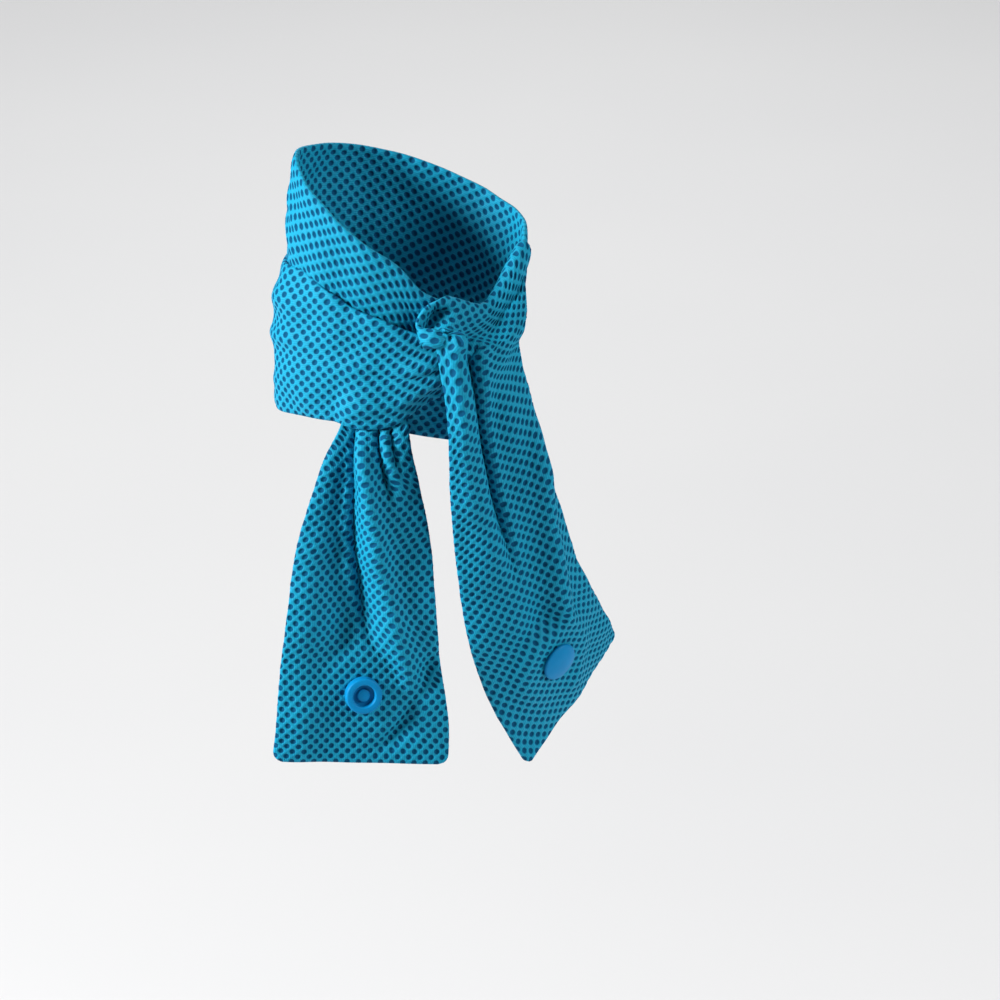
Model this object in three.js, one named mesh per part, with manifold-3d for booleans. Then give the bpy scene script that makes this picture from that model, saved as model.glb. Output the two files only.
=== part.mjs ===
// Cooling neck wrap: one long strip of knitted cloth, wound twice round a wrist and tied once
// in front, with a size 20 plastic snap near each free end. The origin is on the wrist's axis
// at the middle of the band, +Z is up and -Y is the front, where the two tails hang.
import * as THREE from "three";
import { mergeVertices } from "three/addons/utils/BufferGeometryUtils.js";
import Module from "manifold-3d";

const wasm = await Module();
wasm.setup();

// Cloth sizes in millimetres
const STRIP_WIDTH = 57;
const CLOTH_THICKNESS = 2;
const LEFT_TAIL_LENGTH = 110;
const RIGHT_TAIL_LENGTH = 150;

// Wrist that the band is wound on: its width and depth at the origin, how far its axis leans to
// the right, and how much its half width and half depth grow, each per millimetre of height
const WRIST_WIDTH = 66;
const WRIST_DEPTH = 48;
const WRIST_LEAN = 0.15;
const WIDTH_FLARE = 0.06;
const DEPTH_FLARE = 0.1;

// Knot: how far it stands proud of the band, its place and its reach round and along the wrist
const KNOT_RISE = 4.5;
const KNOT_ANGLE = 21;
const KNOT_HEIGHT = -2;
const KNOT_REACH_ROUND = 13;
const KNOT_REACH_UP = 12;

// Size 20 snap
const SNAP_INSET = 22;
const CAP_DIAMETER = 12.4;
const CAP_EDGE = 1;
const CAP_CROWN = 1;
const POST_DIAMETER = 2.4;
const RIVET_DIAMETER = 4;
const RIVET_THICKNESS = 0.8;
const SOCKET_DIAMETER = 11.2;
const SOCKET_HEIGHT = 2.9;
const SOCKET_BASE = 0.9;
const RECESS_DIAMETER = 6.8;
const STUD_FLANGE_DIAMETER = 10.6;
const STUD_FLANGE = 0.9;
const STUD_NECK_DIAMETER = 5.6;
const STUD_HEAD_DIAMETER = 6.2;
const STUD_HEIGHT = 3.6;
const STUD_HOLLOW_DIAMETER = 4.6;
const EDGE_ROUND = 0.4;
const GAP = 0.3;

// Round a snap the cloth is held flat to this distance, and eases back to its folds beyond it
const SEAT_FLAT = 10;
const SEAT_EASE = 7;

// The outer turn sinks this far into the inner one, so that the turns are one solid, and drops
// to the wrist over this height below the inner turn's lower edge
const LAYER_SINK = 0.5;
const LAYER_DROP = 6;

// Directions of the tails' root points in degrees from the front, to the right
const LEFT_ROOT_ANGLE = -3;
const RIGHT_ROOT_ANGLE = 36;

// Sampling
const RING_STEPS = 64;
const INNER_TURN_STEPS = 6;
const OUTER_TURN_STEPS = 12;
const STEPS_PER_SECTION = 3;
const TAIL_WIDTH_STEPS = 14;
const LATHE_STEPS = 24;

// Turns of the band. Angle in degrees from the front, to the right; bottom and top edges as
// shares of the strip's width above the origin.
const INNER_TURN = [
  { angle: -90, bottom: -0.03, top: 0.985 },
  { angle: -75, bottom: -0.08, top: 0.93 },
  { angle: -57, bottom: -0.16, top: 0.85 },
  { angle: -36, bottom: -0.3, top: 0.73 },
  { angle: -20, bottom: -0.35, top: 0.63 },
  { angle: -4, bottom: -0.37, top: 0.525 },
  { angle: 10, bottom: -0.4, top: 0.38 },
  { angle: 27, bottom: -0.42, top: 0.3 },
  { angle: 47, bottom: -0.45, top: 0.235 },
  { angle: 58, bottom: -0.45, top: 0.32 },
  { angle: 68, bottom: -0.44, top: 0.45 },
  { angle: 90, bottom: -0.42, top: 0.56 },
  { angle: 135, bottom: -0.35, top: 0.64 },
  { angle: 180, bottom: -0.21, top: 0.8 },
  { angle: 225, bottom: -0.11, top: 0.93 },
];
const OUTER_TURN = [
  { angle: -90, bottom: -0.433, top: 0.4 },
  { angle: -60, bottom: -0.4, top: 0.435 },
  { angle: -33, bottom: -0.375, top: 0.35 },
  { angle: -24, bottom: -0.372, top: 0.293 },
  { angle: -9, bottom: -0.387, top: 0.25 },
  { angle: 5, bottom: -0.415, top: 0.185 },
  { angle: 20, bottom: -0.45, top: 0.17 },
  { angle: 38, bottom: -0.5, top: 0.15 },
  { angle: 62, bottom: -0.58, top: 0.15 },
  { angle: 90, bottom: -0.63, top: 0.22 },
  { angle: 135, bottom: -0.63, top: 0.3 },
  { angle: 180, bottom: -0.56, top: 0.36 },
  { angle: 225, bottom: -0.49, top: 0.385 },
];

// Folds that run along the outer turn. From and to in degrees; at start and at end are shares of
// the turn's height; rise is in cloth thicknesses and spread a share of the turn's height.
const BAND_FOLDS = [
  { from: -150, to: -50, atStart: 0.72, atEnd: 0.8, rise: 0.7, spread: 0.09 },
  { from: -140, to: -20, atStart: 0.45, atEnd: 0.6, rise: 0.6, spread: 0.07 },
  { from: -75, to: 16, atStart: 0.3, atEnd: 0.62, rise: 0.9, spread: 0.08 },
  { from: -55, to: 14, atStart: 0.62, atEnd: 0.82, rise: 0.8, spread: 0.07 },
  { from: -30, to: 20, atStart: 0.12, atEnd: 0.42, rise: 0.8, spread: 0.08 },
  { from: 25, to: 110, atStart: 0.5, atEnd: 0.35, rise: 0.8, spread: 0.1 },
  { from: 28, to: 150, atStart: 0.72, atEnd: 0.7, rise: 0.7, spread: 0.09 },
];

// Sections of the tails, from the root in the band to the free end. A rooted section follows an
// edge of the band between two angles: above is its height over that edge and proud its distance
// from the wrist, both in cloth thicknesses. A free one gives its left and right ends from the
// tail's root point, and bow is where its middle stands off the straight line between them:
// x and y are shares of the strip's width and z is a share of the tail's length.
const LEFT_ROOT = [
  { from: -24, to: 21, above: 4, proud: 0.5 },
  { from: -24, to: 21, above: -0.7, proud: 0.8 },
];
const LEFT_SECTIONS = [
  { left: [-0.268, -0.08, -0.077], right: [0.25, -0.074, -0.077], bow: [0, -0.03, 0] },
  { left: [-0.318, -0.144, -0.137], right: [0.256, -0.109, -0.145], bow: [0, -0.04, 0] },
  { left: [-0.419, -0.249, -0.295], right: [0.289, -0.153, -0.315], bow: [0, -0.02, 0] },
  { left: [-0.47, -0.337, -0.456], right: [0.312, -0.196, -0.485], bow: [0, 0, 0] },
  { left: [-0.512, -0.407, -0.621], right: [0.34, -0.232, -0.657], bow: [0, 0, 0] },
  { left: [-0.539, -0.468, -0.788], right: [0.379, -0.258, -0.832], bow: [0, 0, 0] },
  { left: [-0.563, -0.495, -0.893], right: [0.379, -0.284, -0.955], bow: [0, 0, 0] },
];
const RIGHT_ROOT = [
  { from: 8, to: 66, above: -4, proud: 0.5 },
  { from: 8, to: 66, above: 0.3, proud: 0.7 },
  { from: 7, to: 66, above: 1.2, proud: 1.9 },
  { from: 6, to: 66, above: 0, proud: 3.3 },
];
const RIGHT_SECTIONS = [
  { left: [-0.177, -0.221, -0.014], right: [0.277, 0.077, -0.005], bow: [0.035, -0.07, 0] },
  { left: [-0.112, -0.256, -0.195], right: [0.251, 0.007, -0.078], bow: [0.035, -0.09, 0] },
  { left: [-0.096, -0.256, -0.373], right: [0.363, 0.025, -0.25], bow: [0.05, -0.105, -0.013] },
  { left: [-0.06, -0.239, -0.538], right: [0.481, 0.112, -0.438], bow: [0.07, -0.105, -0.013] },
  { left: [0, -0.204, -0.697], right: [0.616, 0.235, -0.611], bow: [0.07, -0.105, -0.02] },
  { left: [0.107, -0.125, -0.834], right: [0.705, 0.375, -0.714], bow: [0.075, -0.07, -0.012] },
  { left: [0.295, 0.025, -0.988], right: [0.77, 0.516, -0.79], bow: [0, 0, 0] },
];

// Folds along the tails. From and to are section numbers; at start and at end are shares of the
// width from the left edge; rise is in cloth thicknesses and spread a share of the width.
const LEFT_FOLDS = [
  { from: 0.8, to: 5.6, atStart: 0.3, atEnd: 0.5, rise: -1.7, spread: 0.08 },
  { from: 1, to: 6.4, atStart: 0.4, atEnd: 0.69, rise: 1.1, spread: 0.09 },
  { from: 0.8, to: 3.2, atStart: 0.46, atEnd: 0.72, rise: -1.1, spread: 0.06 },
  { from: 6, to: 7.8, atStart: 0.97, atEnd: 0.64, rise: -0.6, spread: 0.08 },
  { from: 3.5, to: 8.6, atStart: 0.1, atEnd: 0.16, rise: 0.7, spread: 0.1 },
];
const RIGHT_FOLDS = [
  { from: 2.6, to: 8, atStart: 0.25, atEnd: 0.42, rise: -2.2, spread: 0.085 },
  { from: 2.8, to: 7.6, atStart: 0.45, atEnd: 0.6, rise: 1, spread: 0.09 },
  { from: 5, to: 9.4, atStart: 0.92, atEnd: 0.68, rise: 0.8, spread: 0.08 },
];

const radians = THREE.MathUtils.degToRad;
const clamp = THREE.MathUtils.clamp;
const smooth = (from, to, x) => THREE.MathUtils.smoothstep(x, from, to);

// Cubic through four values in a row, for a share between the second and the third
function cubic(before, start, end, after, share) {
  const rise = end - start;
  const slopeIn = (end - before) / 2;
  const slopeOut = (after - start) / 2;
  const square = share * share;
  const cube = square * share;
  return (
    start +
    slopeIn * share +
    (3 * rise - 2 * slopeIn - slopeOut) * square +
    (slopeIn + slopeOut - 2 * rise) * cube
  );
}

// Value of a turn's column at an angle in degrees: straight between its rows, eased at each one
function aroundWrist(table, column, degrees) {
  const angle = ((((degrees + 90) % 360) + 360) % 360) - 90;
  const rows = [...table, { ...table[0], angle: table[0].angle + 360 }];
  const start = rows.findLastIndex((row) => row.angle <= angle);
  const first = rows[start];
  const next = rows[Math.min(start + 1, rows.length - 1)];
  const span = Math.max(next.angle - first.angle, 1);
  const before = rows[start - 1] ?? { ...table.at(-1), angle: table.at(-1).angle - 360 };
  const after = rows[start + 2] ?? { ...table[1], angle: table[1].angle + 360 };
  const slope = (a, b) => ((b[column] - a[column]) / (b.angle - a.angle)) * span;
  const share = (angle - first.angle) / span;
  const slopeIn = slope(before, next);
  const slopeOut = slope(first, after);
  const rise = next[column] - first[column];
  return (
    first[column] +
    slopeIn * share +
    (3 * rise - 2 * slopeIn - slopeOut) * share ** 2 +
    (slopeIn + slopeOut - 2 * rise) * share ** 3
  );
}

// Point that stands a given distance outside the wrist
function offWrist(degrees, height, proud) {
  const angle = radians(degrees);
  const halfWidth = WRIST_WIDTH / 2 + WIDTH_FLARE * height + proud;
  const halfDepth = WRIST_DEPTH / 2 + DEPTH_FLARE * height + proud;
  return new THREE.Vector3(
    WRIST_LEAN * height + halfWidth * Math.sin(angle),
    -halfDepth * Math.cos(angle),
    height,
  );
}

// Sum of a fold table at a place along the cloth and a share across it
function foldRise(folds, along, across) {
  let rise = 0;
  for (const fold of folds) {
    const share = clamp((along - fold.from) / (fold.to - fold.from), 0, 1);
    const at = fold.atStart + (fold.atEnd - fold.atStart) * share;
    const fade = smooth(0, 0.25, share) * smooth(0, 0.3, 1 - share);
    rise += fold.rise * CLOTH_THICKNESS * fade * Math.exp(-(((across - at) / fold.spread) ** 2));
  }
  return rise;
}

// Closed solid between an inner and an outer grid of points. Rows run along the cloth and
// columns across it; a round grid joins its last row to its first.
function clothSolid(inner, outer, round) {
  const rows = inner.length;
  const columns = inner[0].length;
  const positions = [];
  for (const grid of [inner, outer]) {
    for (const point of grid.flat()) positions.push(point.x, point.y, point.z);
  }
  const index = [];
  const vertex = (side, row, column) => (side * rows + (row % rows)) * columns + column;
  const quad = (a, b, c, d) => index.push(a, b, c, a, c, d);
  const lastRow = round ? rows : rows - 1;
  for (let row = 0; row < lastRow; row++) {
    for (let column = 0; column < columns - 1; column++) {
      const corners = [
        [row, column],
        [row + 1, column],
        [row + 1, column + 1],
        [row, column + 1],
      ];
      quad(...corners.map(([r, c]) => vertex(1, r, c)));
      quad(...corners.reverse().map(([r, c]) => vertex(0, r, c)));
    }
    quad(vertex(0, row, 0), vertex(0, row + 1, 0), vertex(1, row + 1, 0), vertex(1, row, 0));
    const edge = columns - 1;
    quad(
      vertex(1, row, edge),
      vertex(1, row + 1, edge),
      vertex(0, row + 1, edge),
      vertex(0, row, edge),
    );
  }
  if (!round) {
    const end = rows - 1;
    for (let column = 0; column < columns - 1; column++) {
      quad(
        vertex(1, 0, column),
        vertex(1, 0, column + 1),
        vertex(0, 0, column + 1),
        vertex(0, 0, column),
      );
      quad(
        vertex(0, end, column),
        vertex(0, end, column + 1),
        vertex(1, end, column + 1),
        vertex(1, end, column),
      );
    }
  }
  return solidOf(positions, index);
}

function solidOf(positions, index) {
  const mesh = new wasm.Mesh({
    numProp: 3,
    vertProperties: new Float32Array(positions),
    triVerts: new Uint32Array(index),
  });
  return new wasm.Manifold(mesh);
}

function solidFromGeometry(geometry) {
  const bare = geometry.clone();
  bare.deleteAttribute("normal");
  bare.deleteAttribute("uv");
  const merged = mergeVertices(bare);
  return solidOf(merged.getAttribute("position").array, merged.index.array);
}

function geometryFromSolid(solid) {
  const mesh = solid.getMesh();
  const geometry = new THREE.BufferGeometry();
  geometry.setAttribute("position", new THREE.BufferAttribute(mesh.vertProperties, 3));
  geometry.setIndex(new THREE.BufferAttribute(mesh.triVerts, 1));
  geometry.computeVertexNormals();
  return geometry;
}

// One turn of the band as a ring, from the grids of its inner and outer face
function turnSolid(table, innerProud, outerProud, acrossSteps) {
  const inner = [];
  const outer = [];
  for (let step = 0; step < RING_STEPS; step++) {
    const degrees = -90 + (360 * step) / RING_STEPS;
    const bottom = aroundWrist(table, "bottom", degrees) * STRIP_WIDTH;
    const top = aroundWrist(table, "top", degrees) * STRIP_WIDTH;
    const place = (proudAt) => {
      const line = [];
      for (let column = 0; column <= acrossSteps; column++) {
        const share = column / acrossSteps;
        const height = bottom + (top - bottom) * share;
        line.push(offWrist(degrees, height, proudAt(degrees, height, share)));
      }
      return line;
    };
    inner.push(place(innerProud));
    outer.push(place(outerProud));
  }
  return clothSolid(inner, outer, true);
}

function innerTurn() {
  return turnSolid(
    INNER_TURN,
    () => 0,
    () => CLOTH_THICKNESS,
    INNER_TURN_STEPS,
  );
}

// The outer turn lies on the inner one, and on the wrist below the inner turn's lower edge
function outerTurn() {
  const base = (degrees, height) => {
    const edge = aroundWrist(INNER_TURN, "bottom", degrees) * STRIP_WIDTH;
    const over = smooth(edge - LAYER_DROP + CLOTH_THICKNESS, edge + CLOTH_THICKNESS, height);
    return (CLOTH_THICKNESS - LAYER_SINK) * over;
  };
  const knot = (degrees, height) =>
    KNOT_RISE *
    Math.exp(
      -(((degrees - KNOT_ANGLE) / KNOT_REACH_ROUND) ** 2) -
        ((height - KNOT_HEIGHT) / KNOT_REACH_UP) ** 2,
    );
  return turnSolid(
    OUTER_TURN,
    base,
    (degrees, height, share) => {
      const angle = degrees > 180 ? degrees - 360 : degrees;
      const folds = foldRise(BAND_FOLDS, angle, share);
      return base(degrees, height) + CLOTH_THICKNESS + knot(angle, height) + folds;
    },
    OUTER_TURN_STEPS,
  );
}

// A tail of the strip: its middle surface, its front normal and its solid. The cloth is held flat
// for a little way round its snap.
class Tail {
  constructor(root, length, rootSections, edgeAt, sections, folds) {
    this.root = root;
    this.length = length;
    this.rootSections = rootSections;
    this.edgeAt = edgeAt;
    this.sections = sections;
    this.folds = folds;
    this.lastRow = rootSections.length + sections.length - 1;
    this.snapRow = this.rowFromEnd(SNAP_INSET);
    this.snapPoint = this.loosePoint(this.snapRow, 0.5);
    this.snapNormal = this.normalOf((r, s) => this.loosePoint(r, s), this.snapRow, 0.5);
  }

  // Point of one section at a share of its width
  sectionPoint(number, share) {
    const rooted = this.rootSections[number];
    if (rooted) {
      const angle = rooted.from + (rooted.to - rooted.from) * share;
      const height = this.edgeAt(angle) + rooted.above * CLOTH_THICKNESS;
      return offWrist(angle, height, rooted.proud * CLOTH_THICKNESS);
    }
    const free = this.sections[number - this.rootSections.length];
    const shares = [0, 1, 2].map((axis) => {
      const straight = free.left[axis] + (free.right[axis] - free.left[axis]) * share;
      return straight + 4 * share * (1 - share) * free.bow[axis];
    });
    const scale = new THREE.Vector3(STRIP_WIDTH, STRIP_WIDTH, this.length);
    return new THREE.Vector3(...shares).multiply(scale).add(this.root);
  }

  bowedPoint(row, share) {
    const start = clamp(Math.floor(row), 0, this.lastRow - 1);
    const at = (number) => this.sectionPoint(number, share);
    const first = at(start);
    const next = at(start + 1);
    const before = start > 0 ? at(start - 1) : first.clone().multiplyScalar(2).sub(next);
    const after =
      start + 2 <= this.lastRow ? at(start + 2) : next.clone().multiplyScalar(2).sub(first);
    const axis = (name) =>
      cubic(before[name], first[name], next[name], after[name], row - start);
    return new THREE.Vector3(axis("x"), axis("y"), axis("z"));
  }

  normalOf(surface, row, share) {
    const step = 0.02;
    const low = clamp(row, step, this.lastRow - step);
    const along = surface(low + step, share).sub(surface(low - step, share));
    const side = clamp(share, step, 1 - step);
    const across = surface(row, side + step).sub(surface(row, side - step));
    return along.cross(across).normalize();
  }

  loosePoint(row, share) {
    const normal = this.normalOf((r, s) => this.bowedPoint(r, s), row, share);
    return this.bowedPoint(row, share).addScaledVector(normal, foldRise(this.folds, row, share));
  }

  rowFromEnd(distance) {
    let row = this.lastRow;
    let left = distance;
    const step = 0.02;
    while (left > 0 && row > step) {
      left -= this.loosePoint(row, 0.5).distanceTo(this.loosePoint(row - step, 0.5));
      row -= step;
    }
    return row;
  }

  point(row, share) {
    const loose = this.loosePoint(row, share);
    const offset = loose.clone().sub(this.snapPoint);
    const rise = offset.dot(this.snapNormal);
    const away = offset.length();
    const held = 1 - smooth(SEAT_FLAT, SEAT_FLAT + SEAT_EASE, away);
    return loose.addScaledVector(this.snapNormal, -rise * held);
  }

  solid() {
    const half = CLOTH_THICKNESS / 2;
    const back = [];
    const front = [];
    for (let step = 0; step <= this.lastRow * STEPS_PER_SECTION; step++) {
      const row = step / STEPS_PER_SECTION;
      const backLine = [];
      const frontLine = [];
      for (let column = 0; column <= TAIL_WIDTH_STEPS; column++) {
        const share = column / TAIL_WIDTH_STEPS;
        const point = this.point(row, share);
        const normal = this.normalOf((r, s) => this.point(r, s), row, share);
        backLine.push(point.clone().addScaledVector(normal, -half));
        frontLine.push(point.clone().addScaledVector(normal, half));
      }
      back.push(backLine);
      front.push(frontLine);
    }
    return clothSolid(back, front, false);
  }

  // Turn that takes the +Y axis of a turned shape to the cloth's front normal
  snapTurn() {
    return new THREE.Quaternion().setFromUnitVectors(new THREE.Vector3(0, 1, 0), this.snapNormal);
  }

  snapHole() {
    const radius = POST_DIAMETER / 2 + GAP;
    const hole = new THREE.CylinderGeometry(radius, radius, 4 * CLOTH_THICKNESS, LATHE_STEPS);
    hole.applyQuaternion(this.snapTurn());
    hole.translate(...this.snapPoint);
    return solidFromGeometry(hole);
  }
}

// Profiles of the snap's pieces, turned about +Y, with the cloth's middle surface at height zero.
// A profile starts and ends on the axis or closes on itself.
const CLOTH_FACE = CLOTH_THICKNESS / 2 + GAP;
const BASE_TOP = CLOTH_FACE + SOCKET_BASE;

function turned(profile) {
  const points = profile.map(([radius, height]) => new THREE.Vector2(radius, height));
  return geometryFromSolid(solidFromGeometry(new THREE.LatheGeometry(points, LATHE_STEPS)));
}

// Cap with its post, which passes through the cloth and the other half and is riveted flat
function capGeometry() {
  const edge = CAP_DIAMETER / 2;
  const rivetBase = BASE_TOP + GAP / 2;
  return turned([
    [0, -CLOTH_FACE - CAP_EDGE - CAP_CROWN],
    [0.3 * edge, -CLOTH_FACE - CAP_EDGE - 0.93 * CAP_CROWN],
    [0.6 * edge, -CLOTH_FACE - CAP_EDGE - 0.7 * CAP_CROWN],
    [0.85 * edge, -CLOTH_FACE - CAP_EDGE - 0.3 * CAP_CROWN],
    [0.97 * edge, -CLOTH_FACE - CAP_EDGE],
    [edge, -CLOTH_FACE - 0.5 * CAP_EDGE],
    [edge, -CLOTH_FACE],
    [POST_DIAMETER / 2, -CLOTH_FACE],
    [POST_DIAMETER / 2, rivetBase],
    [RIVET_DIAMETER / 2, rivetBase],
    [RIVET_DIAMETER / 2, rivetBase + RIVET_THICKNESS],
    [0, rivetBase + RIVET_THICKNESS],
  ]);
}

function socketGeometry() {
  const rim = SOCKET_DIAMETER / 2;
  const bore = POST_DIAMETER / 2 + GAP;
  const recess = RECESS_DIAMETER / 2;
  const top = CLOTH_FACE + SOCKET_HEIGHT;
  return turned([
    [bore, CLOTH_FACE],
    [rim, CLOTH_FACE],
    [rim, top - EDGE_ROUND],
    [rim - EDGE_ROUND, top],
    [recess + EDGE_ROUND, top],
    [recess, top - EDGE_ROUND],
    [recess, BASE_TOP],
    [bore, BASE_TOP],
    [bore, CLOTH_FACE],
  ]);
}

function studGeometry() {
  const flange = STUD_FLANGE_DIAMETER / 2;
  const neck = STUD_NECK_DIAMETER / 2;
  const head = STUD_HEAD_DIAMETER / 2;
  const bore = POST_DIAMETER / 2 + GAP;
  const hollow = STUD_HOLLOW_DIAMETER / 2;
  const flangeTop = CLOTH_FACE + STUD_FLANGE;
  const top = CLOTH_FACE + STUD_HEIGHT;
  return turned([
    [bore, CLOTH_FACE],
    [flange, CLOTH_FACE],
    [flange, flangeTop],
    [neck, flangeTop],
    [neck, flangeTop + 0.4 * (top - flangeTop)],
    [head, flangeTop + 0.65 * (top - flangeTop)],
    [head, top - EDGE_ROUND],
    [head - EDGE_ROUND, top],
    [hollow, top],
    [hollow, BASE_TOP],
    [bore, BASE_TOP],
    [bore, CLOTH_FACE],
  ]);
}

const edgeOf = (table, column) => (degrees) => aroundWrist(table, column, degrees) * STRIP_WIDTH;
const outerBottom = edgeOf(OUTER_TURN, "bottom");
const innerTop = edgeOf(INNER_TURN, "top");
const leftTail = new Tail(
  offWrist(LEFT_ROOT_ANGLE, outerBottom(LEFT_ROOT_ANGLE), CLOTH_THICKNESS / 2),
  LEFT_TAIL_LENGTH,
  LEFT_ROOT,
  outerBottom,
  LEFT_SECTIONS,
  LEFT_FOLDS,
);
const rightTail = new Tail(
  offWrist(RIGHT_ROOT_ANGLE, innerTop(RIGHT_ROOT_ANGLE), CLOTH_THICKNESS / 2),
  RIGHT_TAIL_LENGTH,
  RIGHT_ROOT,
  innerTop,
  RIGHT_SECTIONS,
  RIGHT_FOLDS,
);

const clothMaterial = new THREE.MeshStandardMaterial({
  color: 0x2fa3cc,
  roughness: 0.85,
  metalness: 0,
});
const snapMaterial = new THREE.MeshStandardMaterial({
  color: 0x1e93e0,
  roughness: 0.35,
  metalness: 0,
});

function clothStrip() {
  const cloth = innerTurn()
    .add(outerTurn())
    .add(leftTail.solid())
    .add(rightTail.solid())
    .subtract(leftTail.snapHole())
    .subtract(rightTail.snapHole());
  const mesh = new THREE.Mesh(geometryFromSolid(cloth), clothMaterial.clone());
  mesh.name = "cloth_strip";
  return mesh;
}

// A snap: its cap on one side of the cloth and its socket or stud on the other, in one turned group
function snap(tail, capInFront, capName, mateName, mateGeometry) {
  const group = new THREE.Group();
  group.position.copy(tail.snapPoint);
  group.quaternion.copy(tail.snapTurn());
  if (capInFront) group.rotateX(Math.PI);
  const cap = new THREE.Mesh(capGeometry(), snapMaterial.clone());
  cap.name = capName;
  const mate = new THREE.Mesh(mateGeometry, snapMaterial.clone());
  mate.name = mateName;
  group.add(cap, mate);
  return group;
}

const wrap = new THREE.Group();
wrap.add(clothStrip());
wrap.add(snap(leftTail, false, "left_snap_cap", "left_snap_socket", socketGeometry()));
wrap.add(snap(rightTail, true, "right_snap_cap", "right_snap_stud", studGeometry()));

export default wrap;
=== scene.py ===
"""Cooling neck wrap of knitted mesh, wound twice round a wrist and tied once in front, with a
plastic snap near the end of each tail. Shapes are worked out in millimetres, in the CAD's frame:
+Z up, +X to the right and -Y the front. The meshes are in metres."""
import math
from itertools import combinations

import bmesh
import bpy
import numpy as np
from mathutils import Matrix, Vector


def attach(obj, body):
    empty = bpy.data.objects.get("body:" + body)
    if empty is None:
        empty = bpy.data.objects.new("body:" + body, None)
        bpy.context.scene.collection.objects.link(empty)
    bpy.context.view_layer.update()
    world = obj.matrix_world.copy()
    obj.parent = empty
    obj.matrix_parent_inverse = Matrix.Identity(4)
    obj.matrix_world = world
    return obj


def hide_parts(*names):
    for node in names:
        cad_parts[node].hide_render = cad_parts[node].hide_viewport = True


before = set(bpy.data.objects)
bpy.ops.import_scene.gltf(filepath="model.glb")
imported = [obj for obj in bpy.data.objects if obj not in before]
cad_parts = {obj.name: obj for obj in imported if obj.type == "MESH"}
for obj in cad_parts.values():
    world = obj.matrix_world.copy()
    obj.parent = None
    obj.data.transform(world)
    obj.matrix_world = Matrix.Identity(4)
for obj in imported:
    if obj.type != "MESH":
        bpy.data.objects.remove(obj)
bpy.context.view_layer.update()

MM = 0.001

# The strip and the wrist that it is wound on, with the CAD's values
STRIP_WIDTH = 57.0
LEFT_TAIL_LENGTH = 110.0
RIGHT_TAIL_LENGTH = 150.0
WRIST_HALF_WIDTH = 33.0
WRIST_HALF_DEPTH = 24.0
WRIST_LEAN = 0.15
WIDTH_FLARE = 0.06
DEPTH_FLARE = 0.1
LAYER = 2.0

# Distances of the turns' middle surfaces from what they lie on, as shares of a layer: the inner
# turn and the outer turn on the wrist, and a turn on another turn
INNER_ON_WRIST = 0.5
OUTER_ON_WRIST = 0.55
TURN_ON_TURN = 0.9

# Cloth as it is seen: its thickness, how far in from an edge it starts to thin, and how much of
# the thickness is left at the very edge
CLOTH_THICKNESS = 1.7
EDGE_EASE = 1.3
EDGE_SHARE = 0.5

# Eyelets: radius of the mouth, width of the sloping wall and depth
EYELET_RADIUS = 0.92
EYELET_WALL = 0.26
EYELET_DEPTH = 0.34

# Pattern repeat across and along the strip. The band is pulled tight, so its eyelets lie
# further apart than those of the hanging tails.
BAND_PITCH = (3.7, 3.95)
TAIL_PITCH = (3.5, 3.45)

# Round corners of the tails' ends
LEFT_CORNER = 3.5
RIGHT_CORNER = 3.0

# How finely the middle surfaces are worked out: columns of points across the cloth and rows along
# it. A tail has its rows for each section.
BAND_COLUMNS = 81
TAIL_COLUMNS = 141
INNER_ROWS = 301
OUTER_ROWS = 361
SECTION_ROWS = 36

# Cutting the flat cloth: what lies nearer to a side than the margin is moved onto it, and points
# nearer to each other than a weld become one. An edge as near as this to the seam lies on it, and
# a point that is past all four sides would have this code.
SIDE_MARGIN = 0.12
FLAT_WELD = 0.03
SLIVER = 0.02
PIECE_WELD = 0.04
ON_SEAM = 1e-4
ALL_SIDES = 15

# Unevenness of worn cloth: lengths of its waves, their height as a share of the length, the
# seed of each piece, and the cloth's way along the band for each degree
RIPPLE_LENGTHS = (31.0, 23.0, 17.0, 12.0)
RIPPLE_HEIGHT = 0.011
INNER_SEED = 3
OUTER_SEED = 5
LEFT_SEED = 11
RIGHT_SEED = 17
MM_PER_DEGREE = 0.55

# The pattern stands this share of a repeat off the column that it is counted from, so that no row
# of eyelets is centred on an edge
PATTERN_SHIFT = 0.25

# Turns of the band: angle in degrees from the front, to the right, and the edges as shares of the
# strip's width above the origin
INNER_TURN = {
    "angle": [-90, -75, -57, -36, -20, -4, 10, 27, 47, 58, 68, 90, 135, 180, 225],
    "bottom": [-0.03, -0.08, -0.16, -0.3, -0.35, -0.37, -0.4, -0.42, -0.45, -0.45, -0.44, -0.42,
               -0.35, -0.21, -0.11],
    "top": [0.985, 0.93, 0.85, 0.73, 0.63, 0.525, 0.38, 0.3, 0.235, 0.32, 0.45, 0.56, 0.64, 0.8,
            0.93],
}

# The outer turn starts under the knot, goes round by the right and ends over its own start
OUTER_TURN = {
    "angle": [-16, 5, 20, 38, 62, 90, 135, 180, 225, 270, 300, 327, 336, 351, 365, 374, 381, 390],
    "bottom": [-0.37, -0.415, -0.45, -0.5, -0.58, -0.63, -0.63, -0.56, -0.49, -0.433, -0.4,
               -0.375, -0.372, -0.387, -0.36, -0.29, -0.225, -0.19],
    "top": [0.1, 0.1, 0.12, 0.15, 0.15, 0.22, 0.3, 0.36, 0.385, 0.4, 0.435, 0.35, 0.293, 0.25,
            0.185, 0.158, 0.162, 0.16],
}

# The closed inner turn's ends meet at this angle, under the knot, with no ripple for some degrees
INNER_SEAM = 40
SEAM_EASE = 20

# The outer turn steps down off the inner turn's lower edge over this height. It steps up over its
# own start between two angles, and over the left tail's root between pairs of angles and heights.
STEP_HEIGHT = 13
OVER_START = (334, 352)
OVER_TAIL = {"start": (334, 344), "end": (367, 378), "height": (-5, -15), "rise": 1.4}

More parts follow.
